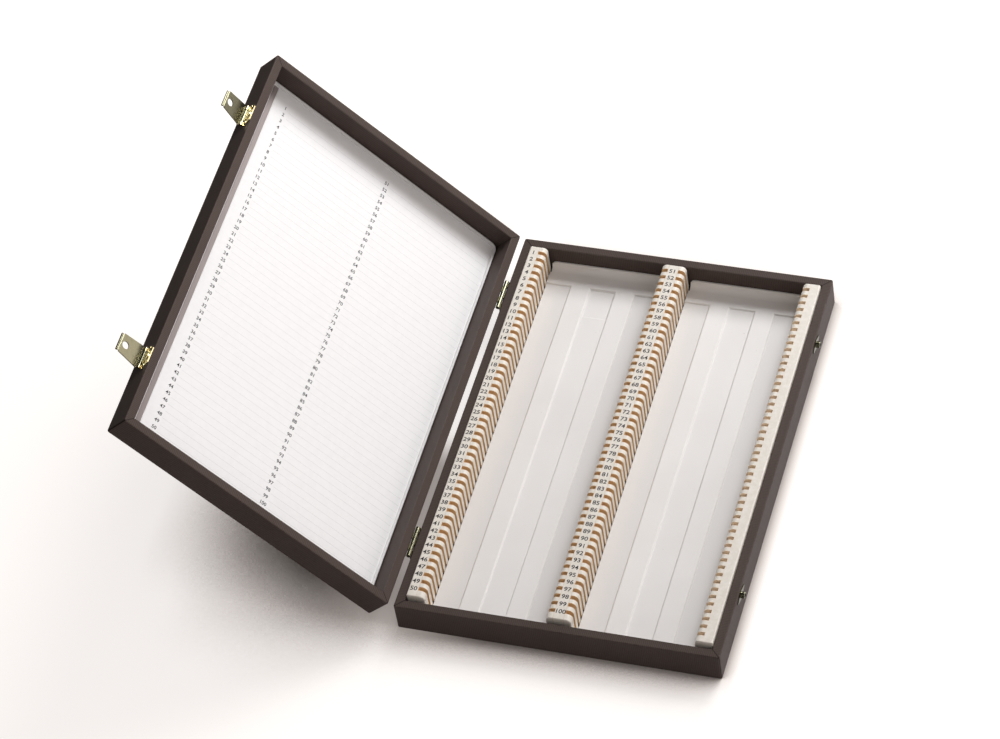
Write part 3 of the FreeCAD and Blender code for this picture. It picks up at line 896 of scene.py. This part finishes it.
@dataclass
class Coverings:
    """The covered strips and boards of the base and the lid."""

    finish: Leatherette = Leatherette()

    def dress(self) -> None:
        """Cover every wall and board with ribbed paper that runs along it."""
        self._dress_tray("base", False)
        self._dress_tray("lid", True)

    def _dress_tray(self, prefix: str, lid: bool) -> None:
        """Cover the four walls and the board of one tray.

        Args:
            prefix: What its nodes' names start with.
            lid: Whether it is the lid.
        """
        measure = shut_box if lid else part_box
        sides = ("front", "rear", "hinge_side", "latch_side")
        corners = [measure(f"{prefix}_wall_{side}") for side in sides]
        low = Vector(tuple(min(c[0][i] for c in corners) for i in range(3)))
        high = Vector(tuple(max(c[1][i] for c in corners) for i in range(3)))
        board = "lid_top_board" if lid else "base_bottom_board"
        runs = {
            Run.ALONG_X: (f"{prefix}_wall_front", f"{prefix}_wall_rear"),
            Run.ALONG_Y: (f"{prefix}_wall_hinge_side", f"{prefix}_wall_latch_side", board),
        }
        for run, names in runs.items():
            title = f"{prefix}_covering_{run.name.lower()}"
            covering = self.finish.build(title, run, lid, (low, high))
            for name in names:
                paint_node(name, covering)


@dataclass
class Racks:
    """The three slotted racks and the numbers on two of them."""

    web_half: float = 2.95 * MM
    slide_span: float = 77.0 * MM
    first_slot: float = 122.75 * MM
    pitch: float = 4.98 * MM
    left_numbers_x: float = -82.7 * MM
    number_height: float = 2.8 * MM
    number_widening: float = 1.08
    finish: RackPaint = RackPaint()
    pale_finish: RackPaint = RackPaint(wood=(0.90, 0.77, 0.61), wood_dark=(0.77, 0.61, 0.45))

    def dress(self) -> None:
        """Paint the racks."""
        bottom = self.web_half + self.slide_span
        low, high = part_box("rack_right")
        side_face = low.x
        centre_low, centre_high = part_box("rack_centre")
        spans = {
            "rack_left": [(-bottom, -side_face)],
            "rack_centre": [(-self.web_half, centre_low.x), (self.web_half, centre_high.x)],
            "rack_right": [(bottom, side_face)],
        }
        rows = Rows(self.first_slot, self.pitch)
        for node, cuts in spans.items():
            finish = self.pale_finish if node == "rack_right" else self.finish
            paint_node(node, finish.build(f"{node}_paint", cuts, rows))
        self._print(high.z, rows)

    def _print(self, top: float, rows: Rows) -> None:
        """Print 1 to 50 on the left rack and 51 to 100 on the centre one.

        Args:
            top: The racks' height.
            rows: Where the numbers lie along Y.
        """
        ink = Ink().build("rack_ink")
        wide = self.number_widening
        columns = {
            "left_rack_numbers": NumberColumn(1, rows, self.left_numbers_x, self.number_height, wide),
            "centre_rack_numbers": NumberColumn(51, rows, 0.0, self.number_height, wide),
        }
        for name, column in columns.items():
            piece = column.build(mirrored=False)
            piece.data.transform(Matrix.Translation((0.0, 0.0, top)))
            Seat(name, Body.BASE, "painted_rack").fit(piece, ink)


@dataclass
class FloorTray:
    """One formed floor sheet: flat lands, three sunk channels and two turned-up ends.

    The outer channels run to the sheet's sides. The gaps lie between a channel's end and the
    sheet's end.
    """

    node: str
    labelled: bool
    sheet: float = 0.8 * MM
    channel_depth: float = 0.8 * MM
    channel_half: float = 7.95 * MM
    land: float = 10.7 * MM
    rear_gap: float = 12.5 * MM
    front_gap: float = 9.5 * MM
    cove_radius: float = 3.6 * MM
    lip_inset: float = 0.8 * MM
    lip_corner: float = 2.6 * MM
    side_slope: float = 0.8 * MM
    label_length: float = 21.0 * MM
    label_depth: float = 0.3 * MM
    label_edge: float = 0.25 * MM
    press_radius: float = 0.2 * MM
    sharp: float = math.radians(20.0)
    cove_steps: int = 7
    corner_steps: int = 5

    def channel_shade_from(self) -> Vector:
        """Return where the channels' painted shade lies: the middle channel's line, the outer ones'
        distance and half their depth.
        """
        low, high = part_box(self.node)
        outer = self.channel_half + self.land
        return Vector(((low.x + high.x) / 2, outer, low.z + self.sheet + self.channel_depth / 2))

    def build(self, finish: bpy.types.Material) -> bpy.types.Object:
        """Model the sheet.

        Args:
            finish: The sheet's material.

        Returns:
            The finished piece.
        """
        low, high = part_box(self.node)
        land_top = low.z + self.sheet + self.channel_depth
        run = self.cove_radius + self.sheet
        front = low.y + run
        rear = high.y - run
        piece = Bench.sheet((low.x, high.x), (front, rear), land_top)
        middle = (low.x + high.x) / 2
        outer = self.channel_half + self.land
        channels = [
            (low.x, middle - outer),
            (middle - self.channel_half, middle + self.channel_half),
            (middle + outer, high.x),
        ]
        cuts_x = [edge for channel in channels for edge in channel if low.x < edge < high.x]
        cuts_x += [low.x + self.lip_inset + self.lip_corner, high.x - self.lip_inset - self.lip_corner]
        cuts_x += [low.x + self.lip_inset, high.x - self.lip_inset]
        channel_rear = high.y - self.rear_gap
        channel_front = low.y + self.front_gap
        label_front = channel_rear - self.label_length
        with Bench.editing(piece, Pick.FACES):
            Bench.cut(0, cuts_x)
            Bench.cut(1, [channel_front, channel_rear])
            for x0, x1 in channels:
                self._sink(piece, (x0, x1), (channel_front, channel_rear))
        self._turn_up(piece, low, high, front, rear, land_top)
        if self.labelled:
            self._label(piece, middle, label_front, land_top - self.channel_depth)
        self._soften(piece, land_top)
        Bench.modifier(piece, "SOLIDIFY", thickness=self.sheet, offset=-1.0)
        Bench.smooth(piece, 50.0)
        Bench.modifier(piece, "WEIGHTED_NORMAL", keep_sharp=True, weight=90)
        seat = Seat(f"{self.node}_sheet", Body.BASE, "floor_sheet", replaces=(self.node,))
        return seat.fit(piece, finish)

    def _sink(self, piece: bpy.types.Object, x: Span, y: Span) -> None:
        """Sink one channel with sloping sides, which has none where it meets the sheet's side."""
        def inside(middle: Vector, face: Any) -> bool:
            """Tell whether a face lies in the channel."""
            return x[0] < middle.x < x[1] and y[0] < middle.y < y[1]

        Bench.pick(piece, Pick.FACES, inside)
        bpy.ops.mesh.inset(thickness=self.side_slope, depth=-self.channel_depth, use_boundary=False)

    def _turn_up(
        self, piece: bpy.types.Object, low: Vector, high: Vector, front: float, rear: float, land: float,
    ) -> None:
        """Turn both ends up into a cove and a lip."""
        x0 = low.x + self.lip_inset
        x1 = high.x - self.lip_inset
        for edge_y, way in ((front, -1.0), (rear, 1.0)):
            with Bench.editing(piece, Pick.EDGES):
                def at_end(middle: Vector, edge: Any) -> bool:
                    """Tell whether an edge lies on the end of the floor."""
                    level = abs(middle.y - edge_y) < CLOSE and abs(middle.z - land) < CLOSE
                    return level and x0 < middle.x < x1 and edge.is_boundary

                Bench.pick(piece, Pick.EDGES, at_end)
                centre = (0.0, edge_y, land + self.cove_radius)
                turn = -way * math.pi / 2
                bpy.ops.mesh.spin(steps=self.cove_steps, angle=turn, center=centre, axis=(1.0, 0.0, 0.0))
                rise = high.z - land - self.cove_radius - self.lip_corner
                bpy.ops.mesh.extrude_region_move(TRANSFORM_OT_translate={"value": (0.0, 0.0, rise)})
            self._round_lip(piece, edge_y + way * self.cove_radius, high.z)

    def _round_lip(self, piece: bpy.types.Object, y: float, top: float) -> None:
        """Draw the lip up to its top with a rounded corner at each side."""
        below = top - self.lip_corner
        for step in range(self.corner_steps):
            before = math.pi / 2 * step / self.corner_steps
            after = math.pi / 2 * (step + 1) / self.corner_steps
            rise = self.lip_corner * (math.sin(after) - math.sin(before))
            level = below + self.lip_corner * math.sin(before)
            shift = self.lip_corner * (math.cos(before) - math.cos(after))
            with Bench.editing(piece, Pick.EDGES):
                def on_top(middle: Vector, edge: Any) -> bool:
                    """Tell whether an edge is the lip's upper edge."""
                    near = abs(middle.z - level) < CLOSE and abs(middle.y - y) < 10 * CLOSE
                    return near and edge.is_boundary

                Bench.pick(piece, Pick.EDGES, on_top)
                bpy.ops.mesh.extrude_region_move(TRANSFORM_OT_translate={"value": (0.0, 0.0, rise)})
                mesh = bmesh.from_edit_mesh(piece.data)
                chosen = [v for v in mesh.verts if v.select]
                ends = (min(chosen, key=lambda v: v.co.x), max(chosen, key=lambda v: v.co.x))
                ends[0].co.x += shift
                ends[1].co.x -= shift
                bmesh.update_edit_mesh(piece.data)

    def _label(self, piece: bpy.types.Object, middle: float, front: float, floor: float) -> None:
        """Sink a small blank label field at the rear of the middle channel."""
        half = self.channel_half - self.side_slope
        with Bench.editing(piece, Pick.FACES):
            def in_channel(centre: Vector, face: Any) -> bool:
                """Tell whether a face is the middle channel's floor."""
                return abs(centre.z - floor) < CLOSE and abs(centre.x - middle) < half

            Bench.pick(piece, Pick.FACES, in_channel)
            bpy.ops.mesh.bisect(plane_co=(0.0, front, 0.0), plane_no=(0.0, 1.0, 0.0))

            def in_label(centre: Vector, face: Any) -> bool:
                """Tell whether a face lies in the label field."""
                return in_channel(centre, face) and centre.y > front

            Bench.pick(piece, Pick.FACES, in_label)
            bpy.ops.mesh.inset(thickness=self.label_edge, depth=-self.label_depth)

    def _soften(self, piece: bpy.types.Object, land_top: float) -> None:
        """Round the pressed edges of the channels."""
        with Bench.editing(piece, Pick.EDGES):
            def pressed(middle: Vector, edge: Any) -> bool:
                """Tell whether an edge is a fold of the pressing."""
                if len(edge.link_faces) != 2 or middle.z > land_top + CLOSE:
                    return False
                return edge.calc_face_angle() > self.sharp

            Bench.pick(piece, Pick.EDGES, pressed)
            bpy.ops.mesh.bevel(offset=self.press_radius, segments=3, clamp_overlap=True)


@dataclass
class LidLining:
    """The white sheet that lines the lid, with a rolled bead all round."""

    node: str = "lid_liner"
    sheet: float = 0.5 * MM
    bead: float = 1.3 * MM
    crest_share: float = 0.42
    foot_radius: float = 0.3 * MM
    corner: float = 4.0 * MM
    strip_area: float = 1e-3
    sharp: float = math.radians(40.0)

    def build(self, finish: bpy.types.Material) -> bpy.types.Object:
        """Model the lining.

        Args:
            finish: The sheet's material.

        Returns:
            The finished piece.
        """
        low, high = shut_box(self.node)
        face = high.z - self.sheet
        piece = Bench.sheet((low.x, high.x), (low.y, high.y), face)
        with Bench.editing(piece, Pick.FACES, whole=True):
            bpy.ops.mesh.flip_normals()
        with Bench.editing(piece, Pick.POINTS, whole=True):
            bpy.ops.mesh.bevel(offset=self.corner, segments=6, affect="VERTICES")
        with Bench.editing(piece, Pick.FACES, whole=True):
            bpy.ops.mesh.inset(thickness=self.bead)

            def border(middle: Vector, strip: Any) -> bool:
                """Tell whether a face is one of the narrow strips all round."""
                return strip.calc_area() < self.strip_area

            Bench.pick(piece, Pick.FACES, border)
            rise = face - low.z
            bpy.ops.mesh.extrude_region_move(TRANSFORM_OT_translate={"value": (0.0, 0.0, -rise)})
        with Bench.editing(piece, Pick.EDGES):
            def crest(middle: Vector, edge: Any) -> bool:
                """Tell whether an edge runs along the bead's crest."""
                level = all(abs(v.co.z - low.z) < CLOSE for v in edge.verts)
                return level and edge.calc_face_angle(0.0) > self.sharp

            Bench.pick(piece, Pick.EDGES, crest)
            bpy.ops.mesh.bevel(offset=self.bead * self.crest_share, segments=4)

            def foot(middle: Vector, edge: Any) -> bool:
                """Tell whether an edge runs along the bead's inner foot."""
                level = all(abs(v.co.z - face) < CLOSE for v in edge.verts)
                shared = len(edge.link_faces) == 2
                return level and shared and edge.calc_face_angle(0.0) > self.sharp

            Bench.pick(piece, Pick.EDGES, foot)
            bpy.ops.mesh.bevel(offset=self.foot_radius, segments=3)
        Bench.modifier(piece, "SOLIDIFY", thickness=self.sheet, offset=-1.0)
        Bench.smooth(piece, 60.0)
        seat = Seat("lid_lining_sheet", Body.LID, "lid_lining", OPENED, (self.node,))
        return seat.fit(piece, finish)


@dataclass
class IndexCard:
    """The ruled card in the lid and its two columns of numbers."""

    node: str = "index_card"
    first_row: float = 117.2 * MM
    pitch: float = 4.763 * MM
    columns_x: Span = (68.5 * MM, -6.5 * MM)
    number_height: float = 2.25 * MM
    number_room: float = 2.6 * MM
    shade_strip_width: float = 2.9 * MM
    shade_strip_thickness: float = 0.25 * MM
    shade_strip_gap: float = 0.15 * MM
    shade_strip_rounding: float = 0.3

    def dress(self) -> None:
        """Lay a grey strip of painted shade beside the card, rule the card and print its numbers."""
        rows = Rows(self.first_row, self.pitch)
        low, high = shut_box(self.node)
        self._lay_shade_strip(low, high)
        starts = [x - self.number_room for x in self.columns_x]
        paint_node(self.node, CardStock().build("card_stock", rows, starts, low.x))
        ink = Ink().build("card_ink")
        pieces = []
        for index, x in enumerate(self.columns_x):
            column = NumberColumn(1 + 50 * index, rows, x, self.number_height)
            pieces.append(column.build(mirrored=True))
        numbers = Bench.join(pieces)
        numbers.data.transform(Matrix.Translation((0.0, 0.0, low.z)))
        Seat("card_numbers", Body.LID, "card", OPENED).fit(numbers, ink)

    def _lay_shade_strip(self, low: Vector, high: Vector) -> None:
        """Lay a grey strip on the lining along the card's free edge, a dark sheet standing for the shade
        there.

        Args:
            low: The card's lowest corner, as it lies when the lid is shut.
            high: Its highest corner.
        """
        near = high.x + self.shade_strip_gap
        shade_piece = Bench.sheet((near, near + self.shade_strip_width), (low.y, high.y), high.z)
        with Bench.editing(shade_piece, Pick.FACES, whole=True):
            bpy.ops.mesh.extrude_region_move(
                TRANSFORM_OT_translate={"value": (0.0, 0.0, -self.shade_strip_thickness)},
            )
            bpy.ops.mesh.select_all(action="SELECT")
            bpy.ops.mesh.normals_make_consistent(inside=False)
        with Bench.editing(shade_piece, Pick.EDGES, whole=True):
            bpy.ops.mesh.bevel(offset=self.shade_strip_thickness * self.shade_strip_rounding, segments=2)
        Bench.smooth(shade_piece)
        # Painted shade: a grey sheet beside the card's free edge stands for the shade there.
        shade_sheet = FormedSheet((0.36, 0.31, 0.30), (0.29, 0.25, 0.24), roughness=0.6)
        Seat("card_edge_shade_strip", Body.LID, "card", OPENED).fit(shade_piece, shade_sheet.build("card_shade_strip", True))


@dataclass
class BrassWork:
    """Hinges, hasps, keepers, pins and nails."""

    tarnished: Brass = Brass()
    bright: Brass = Brass((0.84, 0.74, 0.46), (0.56, 0.50, 0.30), 0.14)

    def dress(self) -> None:
        """Give every brass node its finish: bright on the nails and hasp plates, else tarnished."""
        brass = self.tarnished.build("brass")
        bright = self.bright.build("bright_brass")
        for name in sorted(frame["nodes"]):
            if name.endswith(("_nails", "hasp_plate")):
                paint_node(name, bright)
            elif "wall" not in name and any(word in name for word in ("hinge_", "hasp", "keeper")):
                paint_node(name, brass)


def paint_node(name: str, finish: bpy.types.Material) -> None:
    """Give a CAD node its material.

    Args:
        name: The node's name.
        finish: The material.
    """
    mesh = frame["nodes"][name].data
    mesh.materials.clear()
    mesh.materials.append(finish)


# ---------------------------------------------------------------------------------------------
# The studio
# ---------------------------------------------------------------------------------------------


@dataclass
class Studio:
    """A pale floor, soft lamps and the camera.

    The floor is seen white by its own glow, which painted shade darkens where something stands near
    it. Beside the hasps painted light keeps it white. Under the gap at the hinges painted light lifts
    it too, fully towards the rear and faintly towards the front, fading away under the open lid.
    """

    camera_place: Triple = (0.5540, -1.3976, 1.8724)
    camera_turn: Triple = (39.7519, 6.7216, 15.7976)
    camera_lens: float = 155.28
    sensor: float = 36.0
    floor_size: float = 8.0
    floor_colour: Colour = (0.86, 0.85, 0.845)
    floor_seen: Colour = (0.42, 0.39, 0.37)
    floor_lift: Colour = (0.79, 0.765, 0.75)
    shade_lift: Colour = (0.79, 0.685, 0.625)
    shade_reach: float = 0.11
    shade_open: Span = (0.52, 0.90)
    # Painted light keeps the floor's glow full beside the hasps and along the gap at the hinges.
    beside_hasps: Span = (0.088, 0.100)
    gap_x: float = -0.0985
    gap_fade: Span = (0.004, 0.060)
    gap_middle: Span = (-0.024, 0.006)
    gap_front_level: float = 0.30
    gap_front_end: Span = (-0.150, -0.135)
    gap_rear_end: Span = (0.150, 0.165)
    mirrored_floor: Colour = (0.08, 0.08, 0.08)
    mirrored_from: Span = (-0.5, -0.2)
    room_colour: Colour = (1.0, 0.91, 0.86)
    room_level: float = 0.28
    room_tilt: float = 1.0
    lamp_colour: Colour = (0.975, 0.985, 1.0)
    lamps_aim: Triple = (-0.05, 0.0, 0.05)
    mirrored_level: float = 0.25
    ceiling_level: float = 0.25
    ceiling_turn: Span = (0.25, 0.75)
    window_way: Triple = (0.80, 0.56, 0.20)
    window_edge: Span = (0.6, 1.0)
    window_level: float = 1.7

    def build(self) -> None:
        """Set up the camera, floor, world and lamps."""
        self._camera()
        self._floor()
        self._world()
        self._lamp("key", (0.28, 1.11, 1.0), 0.65, 21.4)
        self._lamp("fill", (0.2, -1.6, 1.4), 1.4, 1.5)
        self._lamp("side", (1.5, -0.6, 1.0), 1.0, 2.5)

    def _camera(self) -> None:
        """Place the camera."""
        data = bpy.data.cameras.new("camera")
        data.lens = self.camera_lens
        data.sensor_width = self.sensor
        data.clip_end = 50.0
        camera = bpy.data.objects.new("camera", data)
        camera.location = self.camera_place
        camera.rotation_euler = [math.radians(a) for a in self.camera_turn]
        bpy.context.scene.collection.objects.link(camera)
        bpy.context.scene.camera = camera

    def _floor(self) -> None:
        """Lay a pale floor that reads white where no shadow falls on it."""
        Bench.clear()
        bpy.ops.mesh.primitive_plane_add(size=self.floor_size, location=(0.0, 0.0, 0.0))
        floor = bpy.context.object
        floor.name = "floor"
        shader = Shader("floor_white")
        seen = shader.value("ShaderNodeLightPath", "Is Camera Ray")
        colour = shader.blend(seen, self.floor_colour, self.floor_seen)
        across, along, _ = shader.axes(shader.coordinates(False))
        mirrored = shader.value("ShaderNodeLightPath", "Is Glossy Ray")
        beyond = 1.0 - across.ease(*self.mirrored_from)
        colour = shader.blend(mirrored * beyond, colour, self.mirrored_floor)
        sky = shader.node("ShaderNodeAmbientOcclusion", {"samples": 8}, {"Distance": self.shade_reach})
        clear = Wire(shader, sky.outputs["AO"]).ease(*self.shade_open)
        # Painted shade: the floor's glow darkens where the AO finds something near, warmer as it
        # darkens.
        glow = seen * clear.most(self._painted_light_mask(across, along))
        tint = shader.blend(glow, self.shade_lift, self.floor_lift)
        lift = shader.blend(glow, (0.0, 0.0, 0.0), tint)
        finish = shader.dress(
            Base_Color=colour, Roughness=0.9, Specular_IOR_Level=0.0,
            Emission_Color=lift, Emission_Strength=1.0,
        )
        floor.data.materials.append(finish)

    def _painted_light_mask(self, across: Wire, along: Wire) -> Wire:
        """Return how far painted light keeps the floor's glow full, whatever stands near it.

        Args:
            across: The place's X.
            along: The place's Y.

        Returns:
            From 0 to 1.
        """
        gap = 1.0 - (across - self.gap_x).size().ease(*self.gap_fade)
        front = self.gap_front_level
        level = along.ease(*self.gap_middle) * (1.0 - front) + front
        ends = along.ease(*self.gap_front_end) * (1.0 - along.ease(*self.gap_rear_end))
        return across.ease(*self.beside_hasps).most(gap * level * ends)

    def _world(self) -> None:
        """Show the eye a white room, and light the case from a warm one with a soft window."""
        world = bpy.data.worlds.new("studio")
        world.use_nodes = True
        nodes = NodeTree(world.node_tree)
        paths = nodes.node("ShaderNodeLightPath", {}, {})
        seen = Wire(nodes, paths.outputs["Is Camera Ray"])
        mirrored = Wire(nodes, paths.outputs["Is Glossy Ray"])
        across, back, up = nodes.axes(nodes.value("ShaderNodeTexCoord", "Generated"))
        ceiling = 1.0 - up.ease(*self.ceiling_turn) * (1.0 - self.ceiling_level)
        toward = across * self.window_way[0] + back * self.window_way[1] + up * self.window_way[2]
        window = toward.ease(*self.window_edge) * self.window_level
        shine = ceiling * (across + 1.0) * self.mirrored_level + window
        room = (across * self.room_tilt + 1.0) * self.room_level
        strength = seen + (1.0 - seen) * (mirrored * shine + (1.0 - mirrored) * room)
        background = world.node_tree.nodes["Background"]
        nodes.feed(background.inputs["Color"], nodes.blend(seen, self.room_colour, (1.0, 1.0, 1.0)))
        nodes.feed(background.inputs["Strength"], strength)
        bpy.context.scene.world = world

    def _lamp(self, name: str, place: Triple, size: float, power: float) -> None:
        """Hang a square soft lamp that points at the case.

        Args:
            name: The lamp's name.
            place: Where it hangs.
            size: Its side's length.
            power: Its power in watts.
        """
        data = bpy.data.lights.new(name, "AREA")
        data.color = self.lamp_colour
        data.size = size
        data.energy = power
        lamp = bpy.data.objects.new(name, data)
        lamp.location = place
        aim = Vector(self.lamps_aim) - Vector(place)
        lamp.rotation_euler = aim.to_track_quat("-Z", "Y").to_euler()
        bpy.context.scene.collection.objects.link(lamp)


def main() -> None:
    """Build the looks of the case in order."""
    logging.basicConfig(level=logging.INFO, format="%(name)s %(message)s")
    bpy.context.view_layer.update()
    Coverings().dress()
    Racks().dress()
    left = FloorTray("floor_tray_left", True)
    right = FloorTray("floor_tray_right", False)
    sheet = FormedSheet().build("floor_sheet", False, right.channel_shade_from())
    left.build(sheet)
    right.build(sheet)
    lining = FormedSheet((0.80, 0.79, 0.79), (0.76, 0.745, 0.74)).build("lid_lining", True)
    LidLining().build(lining)
    IndexCard().dress()
    BrassWork().dress()
    Studio().build()
    bpy.context.scene.view_settings.view_transform = "Standard"


if __name__ == "__main__":
    main()
